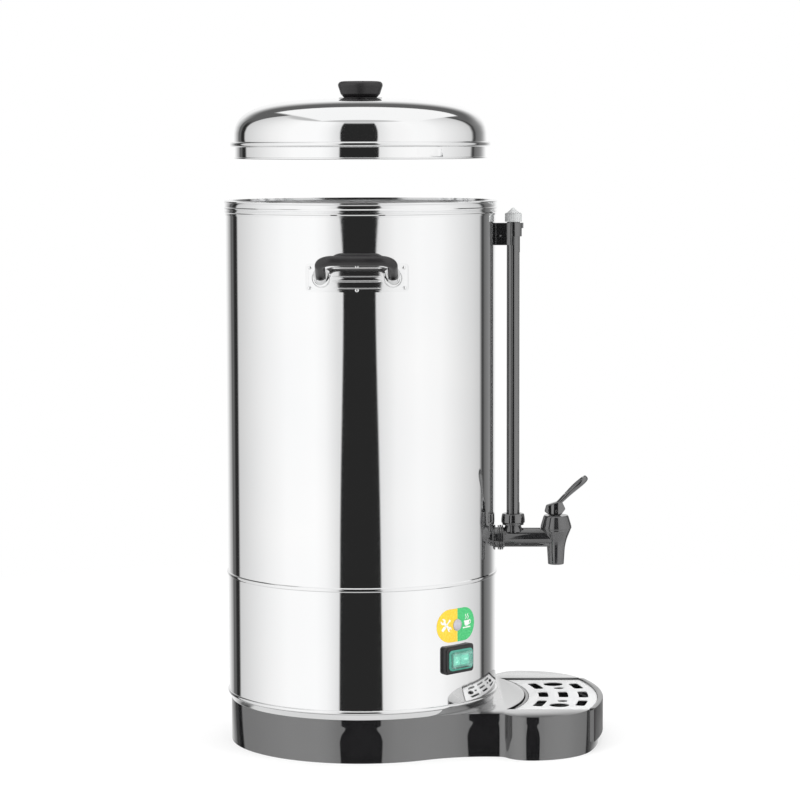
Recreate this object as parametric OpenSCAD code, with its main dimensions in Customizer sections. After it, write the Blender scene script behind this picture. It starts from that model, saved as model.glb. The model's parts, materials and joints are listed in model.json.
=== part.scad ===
// Hot water urn with a side tap, a sight gauge, a lift-off lid and a pull-out drip tray.
// +Z is up. The origin lies on the urn's axis, on the surface it stands on.
// The tap and the drip tray point along +X, and the two carrying handles along -Y and +Y.

/* [Steel body] */
// Outer diameter of the steel body
body_d = 250; // [230:1:290]
// Height of the rim above the table
rim_z = 503; // [460:1:580]
// Height of the seam between the lower housing and the tank shell
seam_z = 157.6; // [150:0.1:166]
// Thickness of the steel sheet
sheet = 0.8; // [0.6:0.1:1]
// Air gap between the outer shell and the water tank
wall_gap = 5.8; // [5:0.1:7]
// Height of the tank's floor above the seam
floor_rise = 8.4; // [7:0.1:14]

/* [Base] */
// Height of the black base
base_h = 39.6; // [37:0.1:46]
// Wall of the black base
base_wall = 3; // [2.5:0.1:3.5]
// How far the base stands in from the steel body
base_inset = 2; // [1:0.1:3]
// Reach of the tray lobe beyond the steel body
tray_reach = 97; // [90:1:110]
// Full width of the tray lobe
lobe_w = 225; // [216:1:230]
// Narrowest width between the round base and the lobe
waist_w = 190; // [184:1:196]
// Radius of the lobe's outer corners
corner_r = 60; // [55:1:64]
// Radius of the lobe's shoulders
shoulder_r = 25; // [20:1:28]
// Radius of the blend between waist and shoulder
fillet_r = 10; // [8:1:12]
// Diameter of a rubber foot
pad_d = 16; // [12:1:18]

/* [Drip tray] */
// Width of the drip tray
drawer_w = 150; // [130:1:156]
// How far the tray's front panel stands proud of the base
panel_proud = 3.5; // [2:0.1:6]
// Gap between the urn's body and the tray
tray_gap = 27; // [24:1:30]
// Depth of the grille below the top of the base
grille_drop = 1.3; // [1:0.1:3]
// Thickness of the grille plate
grille_t = 0.8; // [0.6:0.1:1.2]
// Width of a grille slot
slot_w = 9; // [7:0.1:9.6]

/* [Lid] */
// How far the lid is lifted above its seat
lid_raise = 50.6; // [30:0.1:80]
// Height of the lid's dome above its bead
dome_h = 42.6; // [32:0.1:55]
// Depth of the lid's skirt below its bead
skirt_h = 12.5; // [12:0.1:16]
// Clearance between the lid's skirt and the tank
skirt_gap = 1.5; // [1:0.1:2]
// Direction of the lid's front notch
notch_angle = -57; // [-80:1:-30]
// Largest diameter of the lid's knob
knob_d = 41.4; // [34:0.1:50]
// Height of the lid's knob
knob_h = 15.2; // [12:0.1:20]

/* [Handles] */
// Direction of the front handle; the back handle is opposite
handle_angle = -91.1; // [-94:0.1:-88]
// Overall width of a carrying handle
handle_w = 73; // [66:1:90]
// Thickness of the handle grip
grip_d = 9; // [8:0.1:11]
// Length of the handle's legs out to the grip
leg_l = 36.3; // [32:0.1:42]
// Upward tilt of the handle
leg_tilt = 27; // [15:1:35]
// Drop of the handle's foot below the rim
handle_drop = 66.5; // [60:0.1:80]

/* [Tap] */
// Height of the tap's arm above the table
tap_z = 187.6; // [185:0.1:192]
// Reach of the spout beyond the steel body
tap_reach = 56.5; // [50:0.1:70]
// Diameter of the tap's arm
arm_d = 18; // [16:0.1:20]
// Bore of the spout
spout_bore = 10; // [8:0.1:11]
// Upward tilt of the lever's paddle
lever_tilt = 41; // [36:1:46]
// Length of the lever's paddle
lever_l = 39.5; // [34:0.1:44]

/* [Sight gauge] */
// Distance of the sight gauge from the steel body
sight_off = 16.3; // [15:0.1:18]
// Outer diameter of the gauge's guard tube
guard_d = 12.3; // [11.6:0.1:12.8]
// Drop of the guard's top below the rim
guard_drop = 20.6; // [18:0.1:30]

/* [Controls] */
// Direction of the switch and the indicator
control_angle = -46; // [-60:1:-36]
// Height of the switch's centre
switch_z = 89.3; // [84:0.1:92]
// Height of the indicator's centre
label_z = 120.3; // [119:0.1:126]
// Width of the switch's bezel
bezel_w = 36.6; // [34:0.1:40]
// Height of the switch's bezel
bezel_h = 25.4; // [24:0.1:28]
// Tilt of the rocker to either side
rocker_tilt = 5; // [3:0.5:5]
// Width of the indicator's label
label_w = 47.8; // [42:0.1:52]
// Height of the indicator's label
label_h = 30.3; // [26:0.1:32]
// Diameter of the indicator's lens
lens_d = 10.4; // [8:0.1:12]

/* [Hidden] */
$fn = 64;
cut = 1;          // overshoot of a cutting solid
seat_gap = 0.3;   // gap between pieces that rest on each other but move apart
run_gap = 0.3;    // running gap of a sliding or turning piece
merge = 0.01;     // overlap of curves that run into each other
body_r = body_d / 2;
tank_r = body_r - sheet - wall_gap - sheet;
floor_z = seam_z + floor_rise;

// base outline: waist arcs that touch the round base, blended into the lobe's shoulders
base_r = body_r - base_inset;
end_r = body_r + tray_reach;
lobe_hw = lobe_w / 2;
waist_x = 0.9 * base_r + 1.3;
waist_hw = waist_w / 2;
waist_r = (waist_x^2 + waist_hw^2 - base_r^2) / (2 * (base_r - waist_hw));
waist_c = [waist_x, waist_hw + waist_r];
corner_a = asin((lobe_hw - corner_r) / (end_r - corner_r));
corner_c = (end_r - corner_r) * [cos(corner_a), sin(corner_a)];
shoulder_c = [corner_c.x, lobe_hw - shoulder_r];
fillet_c = meet(shoulder_c, shoulder_r + fillet_r, waist_c, waist_r - fillet_r);

deck_z = base_h - base_wall;
deck_hole_r = 70;
cover_z = 2;
cover_t = 1.2;
rib_t = 2.5;
boss_ring_r = 84;
pad_t = 3;
pad_boss = pad_d / 2 + 2;
pad_ring_r = base_r - base_wall - pad_boss - 2;
lobe_pad = corner_c + polar(corner_r - base_wall - pad_boss - 0.5, 56);
pad_places = [for (a = [80, 165, 195, 280]) polar(pad_ring_r, a),
              for (s = [-1, 1]) [lobe_pad.x, s * lobe_pad.y]];
cover_r = pad_ring_r - pad_boss - rib_t - 2 * run_gap;
gland_a = 135;
gland_z = 16;
gland_r = 5.9;
gland_bore = 3.6;
gland_head = 9;

// drip tray and its channel in the base
drawer_hw = drawer_w / 2;
channel_hw = drawer_hw + run_gap;
channel_r = body_r + tray_gap;
channel_z = 8.5;
nose_x = channel_r + 3;
tray_r = channel_r + 0.9;
tray_z = channel_z + run_gap;
panel_r = end_r + panel_proud;
panel_t = 4.9;
tray_wall = 3;
ledge_w = 2;
grille_gap = 0.5;
grille_z = base_h - grille_drop - grille_t;
ledge_z = grille_z - 0.1;
slot_corner = 2.6;
grille_rows = [for (k = [-1, 0, 1]) (channel_r + panel_r) / 2 + 18.7 * k];

// steel body
foot_z = base_h + 9;
foot_flange = 13;
foot_sheet = 1.2;
tank_bend = 9;
bead_h = 4;
rim_h = 13.5;
tank_top = rim_z - 4;
rim_seat = rim_z - 2;

// lid, in its own frame with the bead at height 0
skirt_r = tank_r - skirt_gap;
dome_r = skirt_r + 0.9;
roll_r = 1.9;
roll_c = dome_r + 1;
lid_z = rim_seat + roll_r + seat_gap + lid_raise;
dome_steps = 18;
knob_foot_r = 14.8;
knob_plate_t = 0.6;
screw_r = 2;
pocket_in = 2.2;     // how far a notch is pressed into the skirt
pocket_w = 28;
entry_w = 12;
pocket_top = -3.6;
leg_floor = -8.9;
lug_w = 9;
lug_low = -8;
lug_h = 3.4;
pocket_a = pocket_w / skirt_r * 180 / PI;
entry_a = entry_w / skirt_r * 180 / PI;
lug_a = lug_w / skirt_r * 180 / PI;
lug_turn = pocket_a / 2 - entry_a / 2;

// handles
handle_z = rim_z - handle_drop;
leg_y = (handle_w - grip_d) / 2;
bend_r = 11;
plate_w = 94;
plate_h = 25.6;
plate_t = 1.2;
emboss_t = 1.2;
socket_d = 13;
socket_x = sqrt(body_r^2 - leg_y^2);
socket_l = 9;

// tap, with the spout's axis at spout_x
spout_x = body_r + tap_reach;
arm_r = arm_d / 2;
arm_start = body_r + 8.2;
tail_r = 7.8;
tail_in = 21;
arm_bore = 5;
spout_low = tap_z - 25.2;
chamber_z = tap_z - 3.6;
chamber_r = 8.6;
bonnet_z = tap_z + 8;
bonnet_r = 14.6;
bonnet_top = tap_z + 20.8;
stem_r = 2.5;
pin_r = 1.5;
pin_z = bonnet_top + seat_gap + 4;
hub_w = 11;

// sight gauge
sight_x = body_r + sight_off;
guard_r = guard_d / 2;
guard_top = rim_z - guard_drop;
neck_top = tap_z + 16;
neck_r = 7.6;
nut_low = neck_top - 4;
guard_low = neck_top + 1;
glass_r = 4.2;
clip_h = 20.6;

// switch
switch_x = body_r;
bezel_front = switch_x + 2.6;
collar_front = bezel_front + 1.6;
cover_w = bezel_w - 5.6;
cover_h = bezel_h - 5;
cover_front = collar_front + 4.2;
rocker_w = cover_w - 8;
rocker_h = cover_h - 6.8;
rocker_x = switch_x + 1.5;

// heater, under the tank's floor
heater_r = 62;
heater_t = 5;
heater_z = floor_z - 1 - heater_t;
coil_r = 48;
coil_rod = 4;
coil_z = heater_z - coil_rod - merge;
coil_a = 30;
coil_leg_r = 3;
coil_leg_l = 24;

// ---- helpers ----

// Where a circle of radius ra about a meets one of radius rb about b, on the waist's side
function meet(a, ra, b, rb) =
    let (d = norm(b - a), u = (b - a) / d, t = (ra^2 - rb^2 + d^2) / (2 * d), h = sqrt(ra^2 - t^2))
    a + t * u + h * [-u.y, u.x];

// A point at distance r and direction a
function polar(r, a) = r * [cos(a), sin(a)];

module ring(r_out, r_in, h) {
    difference() {
        cylinder(r = r_out, h = h);
        translate([0, 0, -cut]) cylinder(r = r_in, h = h + 2 * cut);
    }
}

// Part of a ring between two directions
module ring_part(r_in, r_out, low, high, from, to) {
    rotate([0, 0, from]) rotate_extrude(angle = to - from)
        translate([r_in, low]) square([r_out - r_in, high - low]);
}

// Cylinder along +X
module along_x(r, from, to) {
    translate([from, 0, 0]) rotate([0, 90, 0]) cylinder(r = r, h = to - from);
}

// Turns a shape drawn on the +X side to direction a
module facing(a) { rotate([0, 0, a]) children(); }

module rounded_rect(w, h, r) {
    square([w - 2 * r, h], center = true);
    square([w, h - 2 * r], center = true);
    for (x = [-1, 1], y = [-1, 1]) translate([x * (w / 2 - r), y * (h / 2 - r)]) circle(r);
}

// Block with rounded corners seen from +X, between two distances along X
module rounded_block(w, h, r, from, to) {
    translate([from, 0, 0]) rotate([90, 0, 90]) linear_extrude(to - from) rounded_rect(w, h, r);
}

// ---- base ----

// Half of the base's outline beside the drip tray, for +Y
module lobe_side(inset) {
    bend = waist_c + (fillet_c - waist_c) / norm(fillet_c - waist_c) * (waist_r + inset);
    difference() {
        polygon([[0, 0], waist_c, [bend.x + 2, bend.y + 1], [bend.x + 2, 0]]);
        translate(waist_c) circle(waist_r + inset - merge);
    }
    difference() {
        polygon([[bend.x, 0], [bend.x, bend.y + 1], fillet_c, shoulder_c, [shoulder_c.x, 0]]);
        translate(fillet_c) circle(fillet_r + inset);
    }
    translate(shoulder_c) circle(shoulder_r - inset + 2 * merge);
    intersection() {
        translate(corner_c) circle(corner_r - inset + merge);
        translate([corner_c.x, 0]) square(2 * corner_r);
    }
}

module base_outline(inset = 0) {
    circle(base_r - inset);
    lobe_side(inset);
    mirror([0, 1]) lobe_side(inset);
    intersection() {
        circle(end_r - inset);
        polygon([[0, 0], polar(2 * end_r, -corner_a), polar(2 * end_r, corner_a)]);
    }
}

module channel_space(low, hw, r_in) {
    difference() {
        translate([0, -hw, low]) cube([2 * end_r, 2 * hw, base_h]);
        translate([0, 0, low - cut]) cylinder(r = r_in, h = base_h + 2 * cut);
    }
}

// Skirt and deck of the whole base
module base_shell() {
    difference() {
        linear_extrude(base_h) base_outline();
        translate([0, 0, -cut]) linear_extrude(deck_z + cut) base_outline(base_wall);
    }
}

module pad_bosses(from, to) {
    for (p = pad_places) if (p.x > from && p.x < to) translate(p) cylinder(r = pad_boss, h = deck_z + cut);
}

module pad_sockets() {
    for (p = pad_places) translate([p.x, p.y, -cut]) cylinder(r = pad_d / 2, h = pad_t + cut);
}

// Foot and waist, up to the joint with the nose
module base_moulding() color("#17171a") difference() {
    union() {
        base_shell();
        translate([0, 0, cover_z - 1]) ring(cover_r + run_gap + rib_t, cover_r + run_gap, deck_z);
        for (a = [45 : 90 : 315]) translate(polar(boss_ring_r, a))
            translate([0, 0, cover_z + cover_t]) cylinder(r = 4, h = deck_z - cover_z);
        pad_bosses(-end_r, nose_x);
    }
    channel_space(channel_z, channel_hw, channel_r);
    translate([nose_x, -end_r, -cut]) cube([end_r, 2 * end_r, base_h + 2 * cut]);
    translate([0, 0, -cut]) cylinder(r = deck_hole_r, h = base_h + 2 * cut);
    pad_sockets();
    facing(gland_a) translate([0, 0, gland_z]) along_x(gland_r + 0.1, cover_r - 5, base_r + cut);
}

// Cheeks beside the drip tray, joined by the sill below its front
module nose_moulding() color("#17171a") difference() {
    union() {
        base_shell();
        pad_bosses(nose_x, end_r);
    }
    channel_space(channel_z, channel_hw, channel_r);
    translate([nose_x - 2 * end_r, -end_r, -cut]) cube([2 * end_r, 2 * end_r, base_h + 2 * cut]);
    pad_sockets();
}

// Everything outside the base's outline
module outside_base(inset) {
    difference() {
        translate([0, 0, -cut]) cylinder(r = 2 * end_r, h = base_h + 2 * cut);
        translate([0, 0, -2 * cut]) linear_extrude(base_h + 4 * cut) base_outline(inset);
    }
}

// Channel that the drip tray slides in, hung under the deck
module tray_cradle() color("#17171a") difference() {
    drawer_space(channel_r - base_wall, end_r - base_wall - 3 * run_gap, channel_hw + rib_t,
                 channel_z - base_wall, deck_z);
    outside_base(base_wall + merge);
    channel_space(channel_z, channel_hw, channel_r);
    for (p = pad_places) translate(p) cylinder(r = pad_boss + run_gap, h = base_h);
}

module pad(i) color("#303032") translate(pad_places[i]) cylinder(r = pad_d / 2, h = pad_t);

module bottom_cover() color("#3a3b3d") difference() {
    translate([0, 0, cover_z]) cylinder(r = cover_r, h = cover_t);
    for (x = [-3 : 3], y = [-1, 1]) translate([x * 14, y * 34, cover_z - cut])
        linear_extrude(cover_t + 2 * cut) rounded_rect(4, 30, 1.9);
}

module cable_gland() color("#222224") facing(gland_a) translate([0, 0, gland_z]) difference() {
    union() {
        along_x(gland_r, base_r - 12, base_r + 7);
        along_x(gland_head, base_r, base_r + 5);
        intersection() {
            along_x(gland_head, base_r - base_wall - 6, base_r - base_wall);
            translate([0, 0, -20]) cylinder(r = base_r - base_wall, h = 40);
        }
    }
    along_x(gland_bore, base_r - 13, base_r + 8);
    difference() {
        translate([0, 0, -20]) cylinder(r = base_r, h = 40);
        along_x(gland_r, base_r - 12, base_r + 7);
        translate([0, 0, -20]) cylinder(r = base_r - base_wall, h = 40);
    }
}

// ---- steel body ----

module foot_ring() color("#c9ccd0") rotate_extrude() union() {
    polygon([[body_r - foot_flange, base_h], [base_r, base_h], [base_r + 0.4, base_h + 1],
             [body_r, foot_z - 3.6], [body_r, foot_z], [body_r - 2, foot_z], [body_r - 2, foot_z - 4],
             [base_r - 1.6, base_h + foot_sheet], [body_r - foot_flange, base_h + foot_sheet]]);
    translate([body_r - 0.5, foot_z - 2.1]) circle(1.85);
}

module lower_housing() color("#d4d7da") difference() {
    translate([0, 0, foot_z]) ring(body_r, body_r - sheet, seam_z - bead_h / 2 - foot_z);
    facing(control_angle) {
        translate([0, 0, switch_z])
            rounded_block(cover_w, cover_h, 1.5, body_r - 12, body_r + cut);
        translate([0, 0, label_z]) along_x(lens_d / 2 + 0.1, body_r - 12, body_r + cut);
    }
}

module seam_bead() color("#c9ccd0") rotate_extrude()
    polygon([[body_r - 1.6, seam_z - bead_h / 2], [body_r, seam_z - bead_h / 2],
             [body_r + 1.1, seam_z - 1.2], [body_r + 1.4, seam_z], [body_r + 1.1, seam_z + 1.2],
             [body_r, seam_z + bead_h / 2], [body_r - 1.6, seam_z + bead_h / 2]]);

module outer_shell() color("#d9dcdf") difference() {
    translate([0, 0, seam_z + bead_h / 2])
        ring(body_r, body_r - sheet, rim_z - rim_h - seam_z - bead_h / 2);
    translate([0, 0, tap_z]) along_x(tail_r + 0.2, body_r - 12, body_r + cut);
}

// Wall of the water tank, above the floor's rounded edge
module inner_tank() color("#c4c7ca") difference() {
    translate([0, 0, floor_z + tank_bend]) ring(tank_r + sheet, tank_r, tank_top - floor_z - tank_bend);
    translate([0, 0, tap_z]) along_x(tail_r + 0.2, tank_r - 12, tank_r + 3);
}

// Floor of the water tank, with its edge rounded up to the wall
module tank_floor() color("#c4c7ca") difference() {
    rotate_extrude() difference() {
        union() {
            translate([0, floor_z - 1]) square([tank_r - tank_bend, tank_bend + 1]);
            translate([tank_r - tank_bend, floor_z + tank_bend]) circle(tank_bend + sheet);
        }
        translate([-cut, floor_z]) square([tank_r - tank_bend + cut, tank_bend + cut]);
        translate([tank_r - tank_bend, floor_z + tank_bend]) circle(tank_bend);
        translate([-cut, floor_z + tank_bend]) square([tank_r + 2 * cut, 2 * tank_bend]);
        translate([-2 * tank_bend, 0]) square([2 * tank_bend, rim_z]);
    }
    translate([0, 0, tap_z]) along_x(tail_r + 0.2, tank_r - 12, tank_r + 3);
}

module rim_ring() color("#d9dcdf") translate([0, 0, rim_z]) rotate_extrude()
    polygon([[body_r - sheet, -rim_h], [body_r + 0.6, -rim_h], [body_r + 0.6, -rim_h + 2],
             [body_r + 1.3, -10.6], [body_r + 1.3, -9.6], [body_r + 0.6, -9],
             [body_r + 0.6, -8.4], [body_r + 1.6, -7.6], [body_r + 1.6, -6.6], [body_r + 0.9, -5.8],
             [body_r + 0.9, -2.6], [body_r + 1.5, -1.6], [body_r + 1.2, -0.5], [body_r, 0],
             [tank_r + 4, 0], [tank_r + 3.2, rim_seat - rim_z], [tank_r, rim_seat - rim_z],
             [tank_r, tank_top - rim_z], [body_r - 2, tank_top - rim_z],
             [body_r - sheet, tank_top - rim_z - 1]]);

module mouth_lug(i) color("#c4c7ca") {
    a = notch_angle + lug_turn + 180 * (i - 1);
    low = lid_z - lid_raise + lug_low;
    ring_part(tank_r - 3, tank_r, low, low + lug_h, a - lug_a / 2, a + lug_a / 2);
}

// ---- carrying handles, drawn on the +X side ----

module handle_plate() {
    intersection() {
        union() {
            ring(body_r + plate_t, body_r, rim_z);
            ring_part(body_r, body_r + plate_t + emboss_t, handle_z - 7.4, handle_z + 6.4, -19, 19);
        }
        translate([0, 0, handle_z + 0.3])
            rounded_block(plate_w, plate_h, 4, body_r - 20, body_r + 10);
    }
}

module handle_socket(side) {
    difference() {
        translate([socket_x, side * leg_y, handle_z]) rotate([0, 90 - leg_tilt, 0]) difference() {
            translate([0, 0, -4]) cylinder(d = socket_d, h = socket_l + 4);
            translate([0, 0, 4]) cylinder(d = grip_d + 0.4, h = socket_l);
        }
        translate([0, 0, handle_z - 30]) cylinder(r = body_r + plate_t + emboss_t, h = 60, $fn = 360);
    }
}

module handle_grip() {
    translate([socket_x, 0, handle_z]) rotate([0, 90 - leg_tilt, 0]) {
        for (s = [-1, 1]) {
            translate([0, s * leg_y, 6]) cylinder(d = grip_d, h = leg_l - bend_r - 6);
            translate([0, s * (leg_y - bend_r), leg_l - bend_r]) rotate([90, 0, 90])
                rotate([0, 0, s > 0 ? 0 : 90]) rotate_extrude(angle = 90)
                    translate([bend_r, 0]) circle(d = grip_d);
        }
        translate([0, bend_r - leg_y, leg_l]) rotate([-90, 0, 0])
            cylinder(d = grip_d, h = 2 * (leg_y - bend_r));
    }
}

// ---- sight gauge ----

module sight_bracket() color("#1d1d20") difference() {
    union() {
        translate([body_r - 3, -5, guard_top - clip_h - 0.8]) cube([sight_off - 3, 10, clip_h]);
        translate([sight_x, 0, guard_top - clip_h - 0.8]) cylinder(r = guard_r + 1.7, h = clip_h);
        translate([sight_x, -2, guard_top - 5.8]) cube([guard_r + 3.1, 4, 5]);
    }
    translate([0, 0, seam_z]) cylinder(r = body_r, h = rim_z);
    translate([sight_x, 0, seam_z]) cylinder(r = guard_r + 0.1, h = rim_z);
    translate([sight_x, -20, guard_top - clip_h - 1.8]) cube([20, 40, 9]);
}

module sight_guard() color("#151518") translate([sight_x, 0, guard_low]) difference() {
    ring(guard_r, glass_r + 0.4, guard_top - guard_low);
    translate([0, -2.4, 16]) cube([guard_r + cut, 4.8, guard_top - guard_low - 44]);
}

module sight_glass() color("#dfeef2", 0.5) translate([sight_x, 0, guard_low])
    ring(glass_r, glass_r - 1, guard_top - guard_low - 3);

module sight_cap() color("#e9edef") translate([sight_x, 0, guard_top]) rotate_extrude() difference() {
    polygon([[0, -2.4], [glass_r + 0.2, -2.4], [glass_r + 0.2, seat_gap], [guard_r + 1.8, seat_gap],
             [guard_r + 1.8, 7.6], [guard_r + 0.8, 8.4], [2.6, 12.4], [0, 13]]);
    translate([0, -2.4 - cut]) square([0.8, 8]);
}

module sight_nut() color("#1b1b1e") translate([sight_x, 0, nut_low]) rotate_extrude() difference() {
    polygon([[guard_r + 0.1, 0], [8.8, 0], [10.3, 0.7], [10.9, 2], [10.9, 4.6], [9.9, 9.6], [9.2, 10.2],
             [guard_r + 0.1, 10.2]]);
    translate([0, -cut]) square([neck_r + 0.2, neck_top - nut_low + cut]);
}

module sight_seal() color("#e4e4e0") translate([sight_x, 0, neck_top]) ring(guard_r, glass_r - 1, 1);

// ---- tap ----

module tap_body() color("#17171a") difference() {
    union() {
        translate([0, 0, tap_z]) {
            along_x(tail_r, body_r - tail_in, arm_start);
            along_x(arm_r, arm_start, spout_x);
        }
        translate([sight_x, 0, tap_z]) {
            cylinder(r = neck_r, h = neck_top - tap_z);
            translate([0, 0, arm_r - 3]) cylinder(r1 = 9.8, r2 = neck_r - 0.2, h = 5);
        }
        translate([spout_x, 0, 0]) rotate_extrude()
            polygon([[0, spout_low], [7.2, spout_low], [7.5, spout_low + 0.5], [8.4, tap_z - 10],
                     [9.1, tap_z - 6], [10, tap_z - 2.4], [11.2, tap_z + 1], [12.8, tap_z + 4.8],
                     [13.7, tap_z + 7.2], [13.7, bonnet_z], [0, bonnet_z]]);
    }
    translate([0, 0, tap_z]) along_x(arm_bore, body_r - tail_in - cut, spout_x - chamber_r + 0.6);
    translate([sight_x, 0, tap_z]) cylinder(r = glass_r - 1, h = neck_top);
    translate([spout_x, 0, spout_low - cut]) cylinder(d = spout_bore, h = bonnet_z - spout_low);
    translate([spout_x, 0, chamber_z]) cylinder(r = chamber_r, h = bonnet_z);
    translate([spout_x, 0, bonnet_z]) cylinder(r = bonnet_r + run_gap, h = arm_d);
    translate([body_r - tail_in - cut, 0, tap_z]) rotate([0, 90, 0])
        ring(2 * tail_r, tail_r - merge, tail_in + cut + arm_start - body_r);
}

// Ribbed collar that bears on the shell outside
module tap_collar() color("#1b1b1e") difference() {
    translate([0, 0, tap_z]) rotate([0, 90, 0]) rotate_extrude() difference() {
        union() {
            translate([0, body_r - 3]) square([10.8, arm_start - body_r + 3]);
            for (x = [0.3, 3, 6.6]) translate([0, body_r + x]) square([11.8, 1.6]);
        }
        translate([-cut, body_r - 4]) square([tail_r + 0.1 + cut, 20]);
    }
    translate([0, 0, tap_z - 30]) cylinder(r = body_r, h = 60);
}

// Silicone spacer between the shell and the tank
module tap_spacer() color("#e4e4e0") difference() {
    intersection() {
        translate([0, 0, tap_z]) along_x(12, tank_r - 10, body_r);
        translate([0, 0, tap_z - 30]) ring(body_r - sheet, tank_r + sheet, 60);
    }
    translate([0, 0, tap_z]) along_x(tail_r + 0.2, tank_r - 12, body_r + cut);
}

module tap_back_nut() color("#c9ccd0") difference() {
    intersection() {
        translate([body_r - tail_in + 3, 0, tap_z]) rotate([0, 90, 0])
            cylinder(r = 12.4, h = tail_in, $fn = 6);
        translate([0, 0, tap_z - 30]) cylinder(r = tank_r, h = 60);
    }
    translate([0, 0, tap_z]) along_x(tail_r, body_r - tail_in, body_r);
}

module tap_bonnet() color("#1b1b1e") translate([spout_x, 0, 0]) rotate_extrude()
    polygon([[chamber_r - 1, bonnet_z], [bonnet_r - 0.5, bonnet_z], [bonnet_r, bonnet_z + 1.2],
             [bonnet_r - 0.2, bonnet_z + 3], [bonnet_r - 0.8, bonnet_z + 5.2],
             [bonnet_r - 1.8, bonnet_z + 8.4], [bonnet_r - 2.8, bonnet_top - 1], [bonnet_r - 3.6, bonnet_top],
             [stem_r + run_gap, bonnet_top], [stem_r + run_gap, bonnet_z + 8],
             [chamber_r - 1, bonnet_z + 5.4]]);

// Silicone cup that closes the spout and is drawn up by the stem
module tap_seat() color("#e4e4e0") translate([spout_x, 0, 0]) rotate_extrude()
    polygon([[0, chamber_z], [6.8, chamber_z], [7.2, chamber_z + 1.5], [5.2, chamber_z + 4],
             [6.4, chamber_z + 8], [stem_r, chamber_z + 8.6], [stem_r, chamber_z + 3], [0, chamber_z + 3]]);

module tap_stem() color("#b9bcc0") difference() {
    translate([spout_x, 0, chamber_z + 3]) cylinder(r = stem_r, h = pin_z + 3 - chamber_z - 3);
    translate([spout_x, -10, pin_z]) rotate([-90, 0, 0]) cylinder(r = pin_r + 0.1, h = 20);
}

// Cheeks on the pin, with a dished paddle rising from them
module tap_lever() color("#1d1d20") translate([spout_x, 0, bonnet_top + seat_gap]) difference() {
    union() {
        translate([0, hub_w / 2, 0]) rotate([90, 0, 0]) linear_extrude(hub_w)
            polygon([[-6.1, 0], [3.8, 0], [6.3, 2.1], [8.6, 5.4], [5, 11], [-2, 9.6], [-9.4, 9.1],
                     [-10.8, 3.3]]);
        translate([0, 0, 8.5]) rotate([0, -lever_tilt, 0]) translate([0, 0, -0.6]) difference() {
            linear_extrude(4) {
                polygon([[-4, -hub_w / 2], [10, -4.6], [lever_l - 10, -8.2], [lever_l - 10, 8.2],
                         [10, 4.6], [-4, hub_w / 2]]);
                translate([lever_l - 8.6, 0]) circle(8.6);
            }
            translate([lever_l - 11, 0, 23.4]) sphere(r = 21.4);
        }
    }
    translate([0, stem_r + run_gap, 0]) rotate([90, 0, 0]) linear_extrude(2 * (stem_r + run_gap))
        polygon([[-2.8, -1], [9, -1], [3.2, 6], [2.8, 8.6], [-2.8, 8.6], [-4.6, 6.4], [-4.6, 4.4],
                 [-2.8, 2.4]]);
    translate([0, -10, 4]) rotate([-90, 0, 0]) cylinder(r = pin_r, h = 20);
}

module lever_pin() color("#b9bcc0") translate([spout_x, -hub_w / 2 - 0.6, pin_z])
    rotate([-90, 0, 0]) cylinder(r = pin_r, h = hub_w + 1.2);

// ---- controls, drawn on the +X side and turned to control_angle ----

module switch_bezel() color("#1a1a1c") facing(control_angle) translate([0, 0, switch_z]) difference() {
    union() {
        difference() {
            union() {
                rounded_block(bezel_w, bezel_h, 3, body_r - 5, bezel_front);
                rounded_block(cover_w + 2.4, cover_h + 2.4, 3, bezel_front - cut, collar_front);
            }
            translate([0, 0, -30]) cylinder(r = body_r, h = 60);
        }
        rounded_block(cover_w - 0.6, cover_h - 0.6, 1.2, body_r - 24, bezel_front);
    }
    translate([rocker_x - 3, -rocker_w / 2 - 0.8, -rocker_h / 2 - 0.3])
        cube([20, rocker_w + 1.6, rocker_h + 0.6]);
    for (s = [-1, 1]) translate([body_r - 24 - cut, s * 8 - 2.5, -4]) cube([6, 5, 8]);
}

// Rocker with a shallow V front, resting on its off side
module switch_rocker() color("#2f9f7c") facing(control_angle)
    translate([rocker_x, 0, switch_z - rocker_h / 2]) rotate([0, 0, -rocker_tilt])
        linear_extrude(rocker_h) {
            rise = rocker_w / 2 * tan(rocker_tilt);
            circle(1.8);
            polygon([[0, -1.8], [1.6, -rocker_w / 2], [2.7 + rise, -rocker_w / 2], [2.7, 0],
                     [2.7 + rise, rocker_w / 2], [1.6, rocker_w / 2], [0, 1.8]]);
        }

module switch_cover() color("#49c4a0", 0.6) facing(control_angle) translate([0, 0, switch_z])
    difference() {
        union() {
            rounded_block(cover_w, cover_h, 3.6, collar_front, cover_front - 1.4);
            rounded_block(cover_w - 2, cover_h - 2, 3, cover_front - 1.4, cover_front);
        }
        rounded_block(rocker_w + 2.4, rocker_h + 1.6, 2, collar_front - cut, cover_front - 1);
    }

// One half of the stadium-shaped label: side -1 is the service half, +1 the ready half
module label_half(side) {
    facing(control_angle) intersection() {
        translate([0, 0, label_z - label_h]) ring(body_r + 0.35, body_r, 2 * label_h);
        translate([body_r - 10, 0, label_z]) rotate([90, 0, 90]) linear_extrude(20) difference() {
            intersection() {
                rounded_rect(label_w, label_h, label_h / 2 - 0.1);
                translate([side > 0 ? 0 : -label_w, -label_h]) square([label_w, 2 * label_h]);
            }
            circle(lens_d / 2 + 0.3);
        }
    }
}

module indicator_lens() color("#e8e6ee") facing(control_angle) translate([0, 0, label_z])
    rotate([0, 90, 0]) rotate_extrude()
        polygon([[0, body_r - 8], [lens_d / 2 - 1, body_r - 8], [lens_d / 2 - 1, body_r - 4],
                 [lens_d / 2, body_r - 4], [lens_d / 2, body_r + 0.8], [lens_d / 2 - 1, body_r + 1.5],
                 [lens_d / 4, body_r + 2.1], [0, body_r + 2.2]]);

// ---- heating and wiring, under the tank ----

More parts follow.
